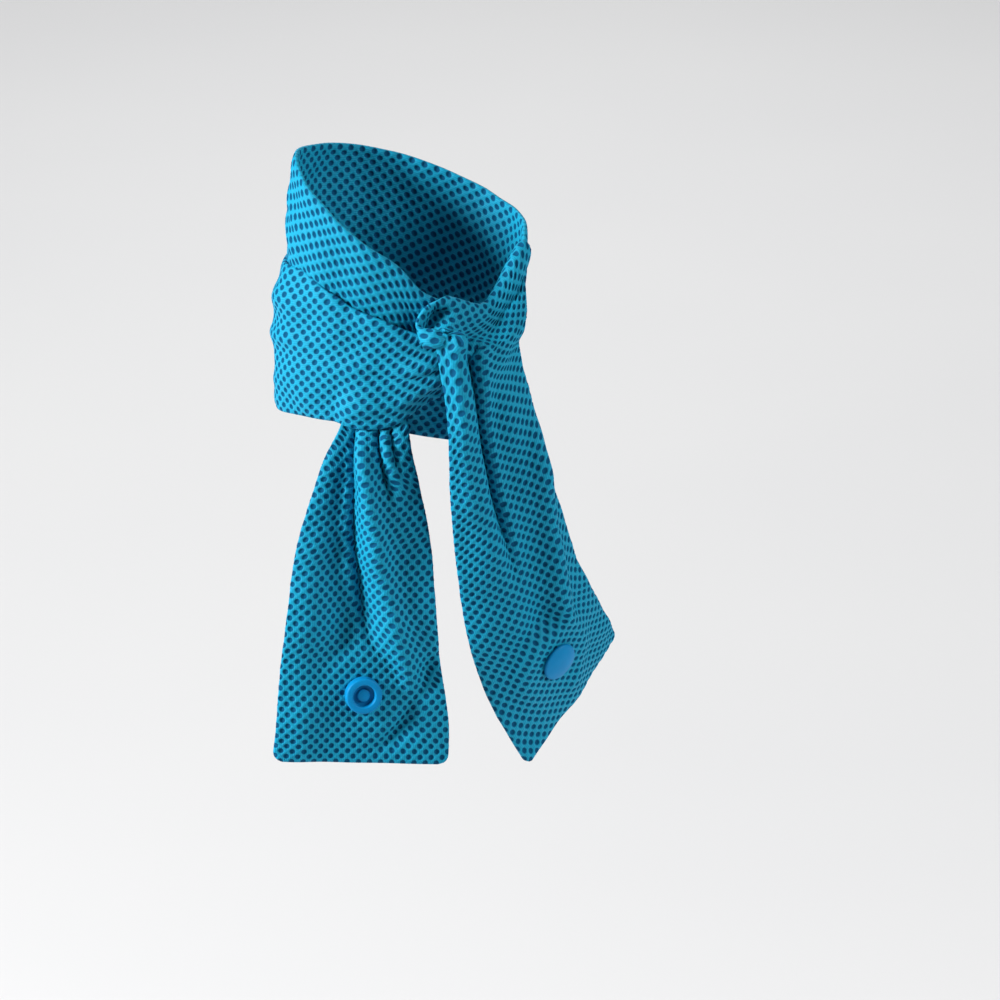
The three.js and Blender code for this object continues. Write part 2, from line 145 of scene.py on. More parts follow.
# The knot's swelling of the outer turn: its rise, and its middle and spread by angle and height
KNOT = {"rise": 3.4, "angle": 381, "angle_spread": 14, "height": -1, "height_spread": 9}

# Edges that lie down on what is below: by how many millimetres, and between which shares of the
# way across the cloth
INNER_TOP = (0.5, 0.94, 1)
OUTER_TOP = (0.6, 0.93, 1)
OUTER_BOTTOM = (0.3, 0.07, 0)

# Folds: from and to along the cloth, their place across it there as shares, rise in millimetres
# and spread as a share. Along is degrees on a turn and section numbers on a tail. Each rises from
# nothing and falls to nothing over a share of its length.
FOLD_COLUMNS = ("start", "end", "at_start", "at_end", "rise", "spread")
FOLD_FADE_IN = 0.25
FOLD_FADE_OUT = 0.3
OUTER_FOLDS = [
    (205, 318, 0.72, 0.8, 1.5, 0.07),
    (210, 335, 0.45, 0.56, 1.4, 0.06),
    (215, 300, 0.22, 0.2, 0.9, 0.07),
    (300, 390, 0.35, 0.66, 0.8, 0.09),
    (330, 396, 0.1, 0.36, 0.9, 0.08),
    (340, 396, 0.5, 0.52, -0.8, 0.05),
    (25, 110, 0.5, 0.35, 1.4, 0.1),
    (28, 150, 0.72, 0.7, 1.3, 0.09),
]
INNER_FOLDS = [
    (215, 330, 0.85, 0.72, 0.8, 0.05),
    (225, 345, 0.7, 0.6, 0.7, 0.05),
    (300, 385, 0.9, 0.8, -0.5, 0.06),
]

# Sections of the tails, closer to the photo at the knot than the CAD's. A rooted one follows an
# edge of the band between two angles: above is its height over that edge and proud its distance
# from the wrist, in millimetres. A free one has its left and right ends and its bow, from the root
# point, as shares of the strip's width and of the tail's length. The root points are at an angle
# of the band, the left one at a height as a share and the right one on the inner turn's edge.
LEFT_ROOT_ANGLE = -3.0
LEFT_ROOT_HEIGHT = -0.399
RIGHT_ROOT_ANGLE = 36.0
LEFT_ROOT = [
    {"start": -19, "end": 12, "above": (14.0, 14.0), "proud": (3.4, 3.4)},
    {"start": -20, "end": 12, "above": (6.0, 6.0), "proud": (3.9, 3.9)},
    {"start": -20.5, "end": 11.5, "above": (0.0, 0.0), "proud": (4.5, 4.7)},
]
LEFT_SECTIONS = [
    {"left": (-0.262, -0.09, -0.06), "right": (0.19, -0.09, -0.06), "bow": (0, -0.05, 0)},
    {"left": (-0.318, -0.144, -0.137), "right": (0.228, -0.119, -0.145), "bow": (0, -0.05, 0)},
    {"left": (-0.419, -0.249, -0.295), "right": (0.289, -0.153, -0.315), "bow": (0, -0.02, 0)},
    {"left": (-0.47, -0.337, -0.456), "right": (0.312, -0.196, -0.485), "bow": (0, 0, 0)},
    {"left": (-0.512, -0.407, -0.621), "right": (0.34, -0.232, -0.657), "bow": (0, 0, 0)},
    {"left": (-0.539, -0.468, -0.788), "right": (0.379, -0.258, -0.832), "bow": (0, 0, 0)},
    {"left": (-0.563, -0.495, -0.893), "right": (0.379, -0.284, -0.955), "bow": (0, 0, 0)},
]
RIGHT_ROOT = [
    {"start": 23, "end": 79, "above": (-10.0, -10.0), "proud": (-1.2, -1.2)},
    {"start": 23, "end": 79, "above": (-1.6, -1.6), "proud": (-1.0, -1.0)},
    {"start": 22, "end": 79, "above": (1.2, 1.0), "proud": (0.9, 0.8)},
    {"start": 16, "end": 80, "above": (0.2, -1.6), "proud": (3.8, 2.8)},
]
RIGHT_SECTIONS = [
    {"left": (-0.236, -0.167, 0.017), "right": (0.312, 0.25, 0.06), "bow": (0.05, -0.06, -0.075)},
    {"left": (-0.264, -0.193, -0.01), "right": (0.302, 0.17, 0.021), "bow": (0.05, -0.07, -0.055)},
    {"left": (-0.152, -0.226, -0.016), "right": (0.296, 0.11, -0.02), "bow": (0.04, -0.08, -0.045)},
    {"left": (-0.168, -0.232, -0.048), "right": (0.282, 0.065, -0.045), "bow": (0.04, -0.085, -0.03)},
    {"left": (-0.112, -0.256, -0.195), "right": (0.262, 0.015, -0.083), "bow": (0.035, -0.075, -0.01)},
    {"left": (-0.096, -0.256, -0.373), "right": (0.363, 0.025, -0.25), "bow": (0.05, -0.07, -0.013)},
    {"left": (-0.06, -0.239, -0.538), "right": (0.481, 0.112, -0.438), "bow": (0.07, -0.07, -0.013)},
    {"left": (0, -0.204, -0.697), "right": (0.616, 0.235, -0.611), "bow": (0.07, -0.085, -0.02)},
    {"left": (0.112, -0.125, -0.845), "right": (0.725, 0.385, -0.718), "bow": (0.075, -0.07, -0.012)},
    {"left": (0.316, 0.025, -1.014), "right": (0.812, 0.516, -0.8), "bow": (0, 0, 0)},
]
LEFT_FOLDS = [
    (1.2, 7.4, 0.18, 0.62, -4.5, 0.045),
    (1.4, 8.2, 0.12, 0.5, -3.2, 0.13),
    (2.0, 8.6, 0.3, 0.91, 4.0, 0.085),
    (1.2, 4.4, 0.53, 0.72, -4.2, 0.045),
    (1.2, 3.6, 0.74, 0.8, -2.6, 0.04),
    (2.1, 4.6, 0.66, 0.8, 1.4, 0.05),
    (6.6, 8.9, 1.0, 0.56, -2.4, 0.07),
    (4.5, 9.6, 0.1, 0.16, 1.3, 0.1),
]
RIGHT_FOLDS = [
    (2.9, 6.3, 0.09, 0.09, -5.0, 0.05),
    (3.2, 10.0, 0.2, 0.15, 2.0, 0.07),
    (4.9, 10.8, 0.29, 0.43, -6.5, 0.055),
    (7.4, 12.6, 0.6, 0.5, -2.6, 0.14),
    (8.4, 13.0, 0.98, 0.5, 3.2, 0.07),
]

# Snaps: centre on the cloth's middle surface and the direction that the cloth's front faces there.
# The cloth is flat this far from a snap's centre, and eases into its folds over the next few
# millimetres.
LEFT_SNAP = {"centre": (-9.833, -42.197, -102.347), "front": (0.222386, -0.966061, 0.131421)}
RIGHT_SNAP = {"centre": (49.580, -19.491, -101.170), "front": (0.679708, -0.700493, -0.217501)}
SEAT_FLAT = 10.0
SEAT_EASE = 7.0


def smooth(start, end, x):
    """Eased step from 0 at start to 1 at end."""
    share = np.clip((np.asarray(x, float) - start) / (end - start), 0, 1)
    return share * share * (3 - 2 * share)


def eased(places, values, x):
    """Cubic through a table's values, with the slope at each row taken from its neighbours."""
    slope = np.gradient(values)
    slope[1:-1] = (values[2:] - values[:-2]) / (places[2:] - places[:-2])
    slope[0] = (values[1] - values[0]) / (places[1] - places[0])
    slope[-1] = (values[-1] - values[-2]) / (places[-1] - places[-2])
    x = np.clip(x, places[0], places[-1])
    row = np.clip(np.searchsorted(places, x, side="right") - 1, 0, len(places) - 2)
    span = places[row + 1] - places[row]
    share = (x - places[row]) / span
    slope_in = slope[row] * span
    slope_out = slope[row + 1] * span
    rise = values[row + 1] - values[row]
    cube_part = (slope_in + slope_out - 2 * rise) * share**3
    return values[row] + slope_in * share + (3 * rise - 2 * slope_in - slope_out) * share**2 + cube_part


def edge_height(turn, column, degrees, closed):
    """Height in millimetres of a turn's edge at angles in degrees."""
    places = np.array(turn["angle"], float)
    values = np.array(turn[column], float)
    if closed:
        places = np.concatenate([places - 360, places, places + 360])
        values = np.tile(values, 3)
        degrees = (np.asarray(degrees, float) + 90) % 360 - 90
    return eased(places, values, degrees) * STRIP_WIDTH


def off_wrist(degrees, height, proud):
    """Points that stand a given distance outside the wrist."""
    angle = np.radians(degrees)
    half_width = WRIST_HALF_WIDTH + WIDTH_FLARE * height + proud
    half_depth = WRIST_HALF_DEPTH + DEPTH_FLARE * height + proud
    return np.stack([
        WRIST_LEAN * height + half_width * np.sin(angle),
        -half_depth * np.cos(angle),
        height + 0 * angle,
    ], axis=-1)


def fold_rise(folds, along, across):
    """Height of a table of folds over the plain surface, in millimetres."""
    total = 0 * along * across
    for row in folds:
        fold = dict(zip(FOLD_COLUMNS, row))
        share = np.clip((along - fold["start"]) / (fold["end"] - fold["start"]), 0, 1)
        at = fold["at_start"] + (fold["at_end"] - fold["at_start"]) * share
        fade = smooth(0, FOLD_FADE_IN, share) * smooth(0, FOLD_FADE_OUT, 1 - share)
        total = total + fold["rise"] * fade * np.exp(-(((across - at) / fold["spread"]) ** 2))
    return total


def ripple(along, across, seed):
    """Slight unevenness of worn cloth, in millimetres, from a few crossing waves."""
    chance = np.random.default_rng(seed)
    total = 0 * along * across
    for length in RIPPLE_LENGTHS:
        turn, phase = chance.uniform(0, 2 * math.pi, 2)
        wave = along * math.cos(turn) + across * math.sin(turn)
        total = total + RIPPLE_HEIGHT * length * np.sin(2 * math.pi * wave / length + phase)
    return total


def unit(vectors):
    return vectors / np.maximum(np.linalg.norm(vectors, axis=-1, keepdims=True), 1e-9)


def normals_of(points):
    """Front normals of a grid of points: rows run along the cloth and columns across it."""
    return unit(np.cross(np.gradient(points, axis=0), np.gradient(points, axis=1)))


# Turns of the band

def laid_edge(edge, share):
    """How far an edge of the cloth lies down, in millimetres."""
    depth, start, end = edge
    return depth * smooth(start, end, share)


def inner_turn_points():
    """The inner turn is closed, and is nearer to the wrist all the way round."""
    seam_end = INNER_SEAM + 360
    degrees = np.linspace(INNER_SEAM, seam_end, INNER_ROWS)[:, None]
    share = np.linspace(0, 1, BAND_COLUMNS)[None, :]
    bottom = edge_height(INNER_TURN, "bottom", degrees, True)
    top = edge_height(INNER_TURN, "top", degrees, True)
    height = bottom + (top - bottom) * share
    off_seam = (smooth(INNER_SEAM, INNER_SEAM + SEAM_EASE, degrees)
                * smooth(0, SEAM_EASE, seam_end - degrees))
    proud = INNER_ON_WRIST * LAYER + fold_rise(INNER_FOLDS, degrees, share)
    proud = proud + off_seam * ripple(degrees * MM_PER_DEGREE, share * STRIP_WIDTH, INNER_SEED)
    proud = proud - laid_edge(INNER_TOP, share)
    return off_wrist(degrees, height, proud)


def outer_turn_points():
    """The outer turn is open, and ends at the knot."""
    degrees = np.linspace(OUTER_TURN["angle"][0], OUTER_TURN["angle"][-1], OUTER_ROWS)[:, None]
    share = np.linspace(0, 1, BAND_COLUMNS)[None, :]
    bottom = edge_height(OUTER_TURN, "bottom", degrees, False)
    top = edge_height(OUTER_TURN, "top", degrees, False)
    height = bottom + (top - bottom) * share
    inner_edge = edge_height(INNER_TURN, "bottom", degrees, True)
    over_inner = smooth(inner_edge - STEP_HEIGHT, inner_edge, height)
    over_start = smooth(*OVER_START, degrees)
    off_knot = (((degrees - KNOT["angle"]) / KNOT["angle_spread"]) ** 2
                + ((height - KNOT["height"]) / KNOT["height_spread"]) ** 2)
    over_tail = (smooth(*OVER_TAIL["start"], degrees) * (1 - smooth(*OVER_TAIL["end"], degrees))
                 * smooth(*OVER_TAIL["height"], height))
    proud = LAYER * (OUTER_ON_WRIST + TURN_ON_TURN * (over_inner + over_start))
    proud = proud + KNOT["rise"] * np.exp(-off_knot) + OVER_TAIL["rise"] * over_tail
    proud = proud + fold_rise(OUTER_FOLDS, degrees, share)
    proud = proud + ripple(degrees * MM_PER_DEGREE, share * STRIP_WIDTH, OUTER_SEED)
    proud = proud - laid_edge(OUTER_TOP, share) - laid_edge(OUTER_BOTTOM, share)
    return off_wrist(degrees, height, proud)


# Tails

def tail_sections(root, root_sections, edge_at, sections, length):
    """Points of a tail's sections, from the root to its free end."""
    share = np.linspace(0, 1, TAIL_COLUMNS)
    rows = []
    for rooted in root_sections:
        degrees = rooted["start"] + (rooted["end"] - rooted["start"]) * share
        above = rooted["above"][0] + (rooted["above"][1] - rooted["above"][0]) * share
        proud = rooted["proud"][0] + (rooted["proud"][1] - rooted["proud"][0]) * share
        rows.append(off_wrist(degrees, edge_at(degrees) + above, proud))
    scale = np.array([STRIP_WIDTH, STRIP_WIDTH, length])
    for free in sections:
        left, right, bow = (np.array(free[name], float) for name in ("left", "right", "bow"))
        line = left + (right - left) * share[:, None] + 4 * (share * (1 - share))[:, None] * bow
        rows.append(root + line * scale)
    return np.array(rows)


def tail_points(rows, rooted, folds, snap, seed):
    """A tail's middle surface through its sections, of which the first few are rooted, with its
    folds and ripple, and flat where the snap sits."""
    last = len(rows) - 1
    number = np.linspace(0, last, SECTION_ROWS * last + 1)
    gaps = np.linalg.norm(np.diff(rows, axis=0), axis=-1).mean(axis=1)
    places = np.concatenate([[0], np.cumsum(gaps)])
    dense = np.interp(number, np.arange(last + 1), places)
    flat = rows.reshape(last + 1, -1)
    bowed = np.stack([eased(places, flat[:, k], dense) for k in range(flat.shape[1])], axis=-1)
    bowed = bowed.reshape(len(number), TAIL_COLUMNS, 3)
    along = number[:, None]
    across = np.linspace(0, 1, TAIL_COLUMNS)[None, :]
    rise = fold_rise(folds, along, across)
    middle = bowed[:, TAIL_COLUMNS // 2]
    walked = np.cumsum(np.linalg.norm(np.diff(middle, axis=0, prepend=middle[:1]), axis=1))
    free_part = smooth(rooted - 1, rooted + 1, along)
    rise = rise + free_part * ripple(walked[:, None], across * STRIP_WIDTH, seed)
    points = bowed + normals_of(bowed) * rise[..., None]
    offset = points - np.array(snap["centre"])
    front = np.array(snap["front"])
    held = 1 - smooth(SEAT_FLAT, SEAT_FLAT + SEAT_EASE, np.linalg.norm(offset, axis=-1))
    return points - front * ((offset @ front) * held)[..., None]


def left_tail_points():
    """The left tail comes out from under the outer turn's lower edge."""
    def edge_at(degrees):
        return edge_height(OUTER_TURN, "bottom", degrees + 360, False)
    root = off_wrist(LEFT_ROOT_ANGLE, LEFT_ROOT_HEIGHT * STRIP_WIDTH, INNER_ON_WRIST * LAYER)
    rows = tail_sections(root, LEFT_ROOT, edge_at, LEFT_SECTIONS, LEFT_TAIL_LENGTH)
    return tail_points(rows, len(LEFT_ROOT), LEFT_FOLDS, LEFT_SNAP, LEFT_SEED)


def right_tail_points():
    """The right tail comes over the inner turn's upper edge."""
    def edge_at(degrees):
        return edge_height(INNER_TURN, "top", degrees, True)
    root = off_wrist(RIGHT_ROOT_ANGLE, float(edge_at(RIGHT_ROOT_ANGLE)), INNER_ON_WRIST * LAYER)
    rows = tail_sections(root, RIGHT_ROOT, edge_at, RIGHT_SECTIONS, RIGHT_TAIL_LENGTH)
    return tail_points(rows, len(RIGHT_ROOT), RIGHT_FOLDS, RIGHT_SNAP, RIGHT_SEED)


class Surface:
    """The middle surface of a piece of cloth, laid out flat: x is the distance across it from an
    anchor column and y the distance along it, both in millimetres."""

    STEP = 0.5

    def __init__(self, points, anchor=0.5):
        self.along = np.concatenate([[0], np.cumsum(
            np.linalg.norm(np.diff(points, axis=0), axis=-1).mean(axis=1))])
        steps = np.linalg.norm(np.diff(points, axis=1), axis=-1)
        across = np.concatenate([np.zeros((len(points), 1)), np.cumsum(steps, axis=1)], axis=1)
        column = int(anchor * (points.shape[1] - 1))
        across = across - across[:, column:column + 1]
        self.low = across[:, 0]
        self.high = across[:, -1]
        self.start = self.low.min()
        places = np.arange(self.start, self.high.max() + self.STEP, self.STEP)
        normals = normals_of(points)
        both = np.concatenate([points, normals], axis=-1)
        self.table = np.stack([
            np.stack([np.interp(places, across[row], both[row, :, k]) for k in range(6)], axis=-1)
            for row in range(len(points))
        ])

    @property
    def length(self):
        return self.along[-1]

    def sides(self, y):
        return np.interp(y, self.along, self.low), np.interp(y, self.along, self.high)

    def at(self, x, y):
        """Points and front normals for flat places."""
        rows, columns = self.table.shape[:2]
        row_place = np.interp(y, self.along, np.arange(rows))
        column_place = np.clip((x - self.start) / self.STEP, 0, columns - 1)
        row = np.minimum(row_place.astype(int), rows - 2)
        column = np.minimum(column_place.astype(int), columns - 2)
        past_row = (row_place - row)[:, None]
        past_column = (column_place - column)[:, None]
        near = self.table[row, column] * (1 - past_column) + self.table[row, column + 1] * past_column
        far = (self.table[row + 1, column] * (1 - past_column)
               + self.table[row + 1, column + 1] * past_column)
        both = near * (1 - past_row) + far * past_row
        return both[:, :3], unit(both[:, 3:])


def eyelet_cloth(surface, pitch, closed, corner):
    """One face of the cloth, flat, as a bmesh in millimetres: a grid with an eyelet at every
    second corner, cut to the cloth's sides and end."""
    # Points stand half a repeat apart, counted from the anchor column, and every second one is the
    # centre of an eyelet
    across, along = pitch
    first = math.floor(surface.low.min() / across) - 1
    last = math.ceil(surface.high.max() / across) + 1
    rows = round(surface.length / along) if closed else math.ceil(surface.length / along) + 1
    columns = last - first
    bm = bmesh.new()
    bmesh.ops.create_grid(bm, x_segments=2 * columns, y_segments=2 * rows, size=0.5)
    bmesh.ops.translate(bm, verts=bm.verts, vec=(0.5, 0.5, 0))
    bmesh.ops.scale(bm, verts=bm.verts, vec=(2 * columns, 2 * rows, 1))
    bmesh.ops.translate(bm, verts=bm.verts, vec=(2 * first, 0, 0))
    centres = [v for v in bm.verts if not v.is_boundary and round(v.co.x + v.co.y) % 2 == 0]
    fit = surface.length / (rows * along) if closed else 1
    bmesh.ops.scale(bm, verts=bm.verts, vec=(across / 2, along * fit / 2, 1))
    bmesh.ops.translate(bm, verts=bm.verts, vec=(PATTERN_SHIFT * across, 0, 0))
    eyelets = bmesh.ops.bevel(bm, geom=centres, offset=EYELET_RADIUS, offset_type="OFFSET",
                              segments=1, profile=0.5, affect="VERTICES", material=-1)["faces"]
    for face in eyelets:
        for edge in list(face.edges):
            bmesh.utils.edge_split(edge, edge.verts[0], 0.5)
    for face in eyelets:
        centre = face.calc_center_median()
        for vert in face.verts:
            vert.co = centre + (vert.co - centre).normalized() * EYELET_RADIUS
    bmesh.ops.inset_individual(bm, faces=eyelets, thickness=EYELET_WALL, depth=-EYELET_DEPTH,
                               use_even_offset=True)
    cut_to_sides(bm, surface, closed, corner)
    return bm


def sides_with_corners(surface, y, closed, corner):
    """The cloth's sides at a distance along it, drawn in at the free end for its round corners."""
    low, high = surface.sides(y)
    if closed or not corner:
        return low, high
    into_corner = np.clip(corner - (surface.length - y), 0, corner)
    drawn_in = corner - np.sqrt(corner**2 - into_corner**2)
    return low + drawn_in, high - drawn_in


def cut_to_sides(bm, surface, closed, corner):
    """Takes away what lies outside the cloth, and moves what crosses a side onto it. A point's code
    has one bit for each side that it is past, and a face goes if its points share one."""
    place = np.array([v.co for v in bm.verts])
    y = np.clip(place[:, 1], 0, surface.length)
    low, high = sides_with_corners(surface, y, closed, corner)
    past_low = place[:, 0] <= low + SIDE_MARGIN
    past_high = place[:, 0] >= high - SIDE_MARGIN
    x = np.where(past_high, high, np.where(past_low, low, place[:, 0]))
    code = past_low * 1 + past_high * 2
    if not closed:
        past_end = place[:, 1] >= surface.length - SIDE_MARGIN
        past_start = place[:, 1] <= SIDE_MARGIN
        y = np.where(past_start, 0, np.where(past_end, surface.length, y))
        code = code + past_end * 4 + past_start * 8
    bm.verts.ensure_lookup_table()
    bm.verts.index_update()
    outside = []
    for face in bm.faces:
        common = ALL_SIDES
        for vert in face.verts:
            common &= int(code[vert.index])
        if common:
            outside.append(face)
    for vert, new_x, new_y, past in zip(bm.verts, x, y, code):
        vert.co.x = new_x
        vert.co.y = new_y
        if past:
            vert.co.z = 0
    bmesh.ops.delete(bm, geom=outside, context="FACES")
    bmesh.ops.remove_doubles(bm, verts=bm.verts, dist=FLAT_WELD)
    bmesh.ops.dissolve_degenerate(bm, dist=SLIVER, edges=bm.edges)
    # Where more than two faces share an edge, all but the two largest are flaps left by the cut
    flaps = set()
    for edge in bm.edges:
        flaps.update(sorted(edge.link_faces, key=lambda face: face.calc_area())[:-2])
    bmesh.ops.delete(bm, geom=list(flaps), context="FACES")
    bmesh.ops.delete(bm, geom=[e for e in bm.edges if e.is_wire], context="EDGES")
    close_pinches(bm)


def angle_at(vert, first, second):
    """Angle between two edges that meet at a point."""
    return (first.other_vert(vert).co - vert.co).angle(second.other_vert(vert).co - vert.co)


def close_pinches(bm):
    """Fills the narrow notch where two parts of the cut cloth meet at one corner only."""
    for vert in list(bm.verts):
        rim = [e for e in vert.link_edges if e.is_boundary]
        if len(rim) != 4:
            continue
        # A notch lies between two rim edges whose faces share nothing but the corner
        pairs = [(a, b) for a, b in combinations(rim, 2)
                 if not (set(a.link_faces[0].verts) & set(b.link_faces[0].verts)) - {vert}]
        if pairs:
            first, second = min(pairs, key=lambda pair: angle_at(vert, *pair))
            ends = [first.other_vert(vert), second.other_vert(vert)]
            if first.link_loops[0].vert == vert:
                ends.reverse()
            bm.faces.new((vert, *ends))


def add_rim_and_back(bm, surface, closed):
    """Adds a rim and a back to the flat cloth, and gives the side of each point: 1 on the front, 0
    at the rim's middle and -1 on the back. The ends that a closed turn is joined at get no rim."""
    side = bm.verts.layers.float.new("side")
    for vert in bm.verts:
        vert[side] = 1
    ends = (0.0, surface.length)
    rim = [e for e in bm.edges if e.is_boundary and not (
        closed and all(min(abs(v.co.y - end) for end in ends) < ON_SEAM for v in e.verts)
        and abs(e.verts[0].co.y - e.verts[1].co.y) < ON_SEAM)]
    skirt = bmesh.ops.extrude_edge_only(bm, edges=rim)["geom"]
    for vert in (g for g in skirt if isinstance(g, bmesh.types.BMVert)):
        vert[side] = 0
    back = bmesh.ops.duplicate(bm, geom=bm.verts[:] + bm.edges[:] + bm.faces[:])["geom"]
    for vert in (g for g in back if isinstance(g, bmesh.types.BMVert)):
        vert[side] = -vert[side]
    bmesh.ops.reverse_faces(bm, faces=[g for g in back if isinstance(g, bmesh.types.BMFace)])
    return np.array([v[side] for v in bm.verts])


def new_object(name, bm, material):
    """Puts a bmesh into the scene as an object of one material."""
    mesh = bpy.data.meshes.new(name)
    bm.to_mesh(mesh)
    bm.free()
    mesh.materials.append(material)
    thing = bpy.data.objects.new(name, mesh)
    bpy.context.scene.collection.objects.link(thing)
    return thing


def cloth_piece(name, points, pitch, closed=False, corner=0.0, anchor=0.5):
    """A closed sheet of mesh cloth on a middle surface. Its UV map holds its flat places, counted
    in pattern repeats."""
    surface = Surface(points, anchor)
    repeat = surface.length / round(surface.length / pitch[1]) if closed else pitch[1]
    bm = eyelet_cloth(surface, pitch, closed, corner)
    uv = bm.loops.layers.uv.new("flat")
    for face in bm.faces:
        for loop in face.loops:
            loop[uv].uv = (loop.vert.co.x / pitch[0] - PATTERN_SHIFT, loop.vert.co.y / repeat)
    sides = add_rim_and_back(bm, surface, closed)
    flat = np.array([v.co for v in bm.verts])
    place, front = surface.at(flat[:, 0], flat[:, 1])
    low, high = sides_with_corners(surface, flat[:, 1], closed, corner)
    inset = np.minimum(flat[:, 0] - low, high - flat[:, 0])
    if corner:
        inset = np.minimum(inset, surface.length - flat[:, 1])
    near = 1 - np.clip(inset / EDGE_EASE, 0, 1)
    half = 0.5 * CLOTH_THICKNESS * (EDGE_SHARE + (1 - EDGE_SHARE) * np.sqrt(1 - near**2))
    final = place + front * (sides * (half + flat[:, 2]))[:, None]
    for vert, co in zip(bm.verts, final * MM):
        vert.co = co
    bmesh.ops.remove_doubles(bm, verts=bm.verts, dist=PIECE_WELD * MM)
    # The flat grid faces along x by y, which is the cloth's back once it is mapped
    bmesh.ops.reverse_faces(bm, faces=bm.faces)
    for face in bm.faces:
        face.smooth = True
    piece = new_object(name, bm, KNIT)
    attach(piece, "root")
    return piece


# Materials

def linear(hex_code):
    """Linear colour of an sRGB hex value."""
    channels = (int(hex_code[i:i + 2], 16) / 255 for i in (1, 3, 5))
    return (*(c / 12.92 if c <= 0.04045 else ((c + 0.055) / 1.055) ** 2.4 for c in channels), 1)


def add_node(tree, kind, inputs=(), **settings):
    """A node with its settings. Inputs are pairs of a socket's name or number and what goes in:
    another node's output, or a value."""
    node = tree.nodes.new("ShaderNode" + kind)
    for setting, value in settings.items():
        setattr(node, setting, value)
    for socket, value in inputs:
        if isinstance(value, bpy.types.NodeSocket):
            tree.links.new(value, node.inputs[socket])
        else:
            node.inputs[socket].default_value = value
    return node


def new_material(name):
    """A material with its nodes and its main shader."""
    material = bpy.data.materials.new(name)
    material.use_nodes = True
    tree = material.node_tree
    return material, tree, tree.nodes["Principled BSDF"]


def knitted_polyester_mesh():
    """Two-faced polyester knit with round eyelets. The eye gets a bright, slightly silky ground,
    eyelets darkened by painted shade where the inner layer shows through them, and fine columns of
    stitches between them."""
    material, tree, shader = new_material("knitted_polyester_mesh")
    flat = add_node(tree, "UVMap", uv_map="flat").outputs[0]
    distances = []
    for shift in (0.5, 0.0):
        moved = add_node(tree, "VectorMath", [(0, flat), (1, (shift, shift, 0))], operation="ADD")
        cell = add_node(tree, "VectorMath", [(0, moved.outputs[0])], operation="FRACTION")
        centred = add_node(tree, "VectorMath", [(0, cell.outputs[0]), (1, (0.5, 0.5, 0))],
                           operation="SUBTRACT")
        length = add_node(tree, "VectorMath", [(0, centred.outputs[0])], operation="LENGTH")
        distances.append(length.outputs["Value"])
    nearest = add_node(tree, "Math", [(0, distances[0]), (1, distances[1])], operation="MINIMUM")
    # Threads stray a little over the eyelet's edge: noise of 0.4 mm grain, in repeats of 3.6 mm
    stray = add_node(tree, "TexNoise", [("Vector", flat), ("Scale", 9.0), ("Detail", 2.0)])
    frayed = add_node(tree, "Math", [(0, stray.outputs["Fac"]), (1, 0.05), (2, nearest.outputs[0])],
                      operation="MULTIPLY_ADD")
    # Painted shade in an eyelet, where the inner layer shows, turning to the ground's tone between 0.7
    # and 1.1 mm from its centre
    ground = add_node(tree, "MapRange", [
        ("Value", frayed.outputs[0]), ("From Min", 0.225), ("From Max", 0.32),
    ], interpolation_type="SMOOTHSTEP").outputs[0]
    # Stitch columns 0.6 mm apart, six to a repeat
    columns = add_node(tree, "TexWave", [
        ("Vector", flat), ("Scale", 1.9), ("Distortion", 1.6), ("Detail", 2.0), ("Detail Scale", 4.0),
    ], wave_type="BANDS", bands_direction="X").outputs["Fac"]
    # Uneven tone from wear, in patches of about 10 mm
    shade = add_node(tree, "TexNoise", [("Vector", flat), ("Scale", 0.35), ("Detail", 3.0)])
    stitch_tone = add_node(tree, "MixRGB", [
        (0, columns), (1, linear("#097FA4")), (2, linear("#1A9EBE")),
    ])
    worn = add_node(tree, "MixRGB", [
        (0, shade.outputs["Fac"]), (1, stitch_tone.outputs[0]), (2, linear("#0E8DB1")),
    ])
    # The eyelets' dark blue, #014B70, is painted shade for the holes over the inner layer
    colour = add_node(tree, "MixRGB", [
        (0, ground), (1, linear("#014B70")), (2, worn.outputs[0]),
    ])
    tree.links.new(colour.outputs[0], shader.inputs["Base Color"])
    rough = add_node(tree, "MapRange", [
        ("Value", ground), ("To Min", 0.85), ("To Max", 0.58),
    ])
    tree.links.new(rough.outputs[0], shader.inputs["Roughness"])
    # Fibres of about 0.16 mm, drawn coarser than they are so that they show
    fine = add_node(tree, "TexNoise", [("Vector", flat), ("Scale", 22.0), ("Detail", 2.0)])
    relief = add_node(tree, "Math", [(0, columns), (1, 0.6), (2, fine.outputs["Fac"])],
                      operation="MULTIPLY_ADD")
    bump = add_node(tree, "Bump", [
        ("Strength", 0.5), ("Distance", 0.12 * MM), ("Height", relief.outputs[0]),
    ])
    tree.links.new(bump.outputs[0], shader.inputs["Normal"])
    shader.inputs["Specular IOR Level"].default_value = 0.11
    shader.inputs["Sheen Weight"].default_value = 0.045
    shader.inputs["Sheen Roughness"].default_value = 0.4
    shader.inputs["Sheen Tint"].default_value = linear("#7FD8F5")
    return material


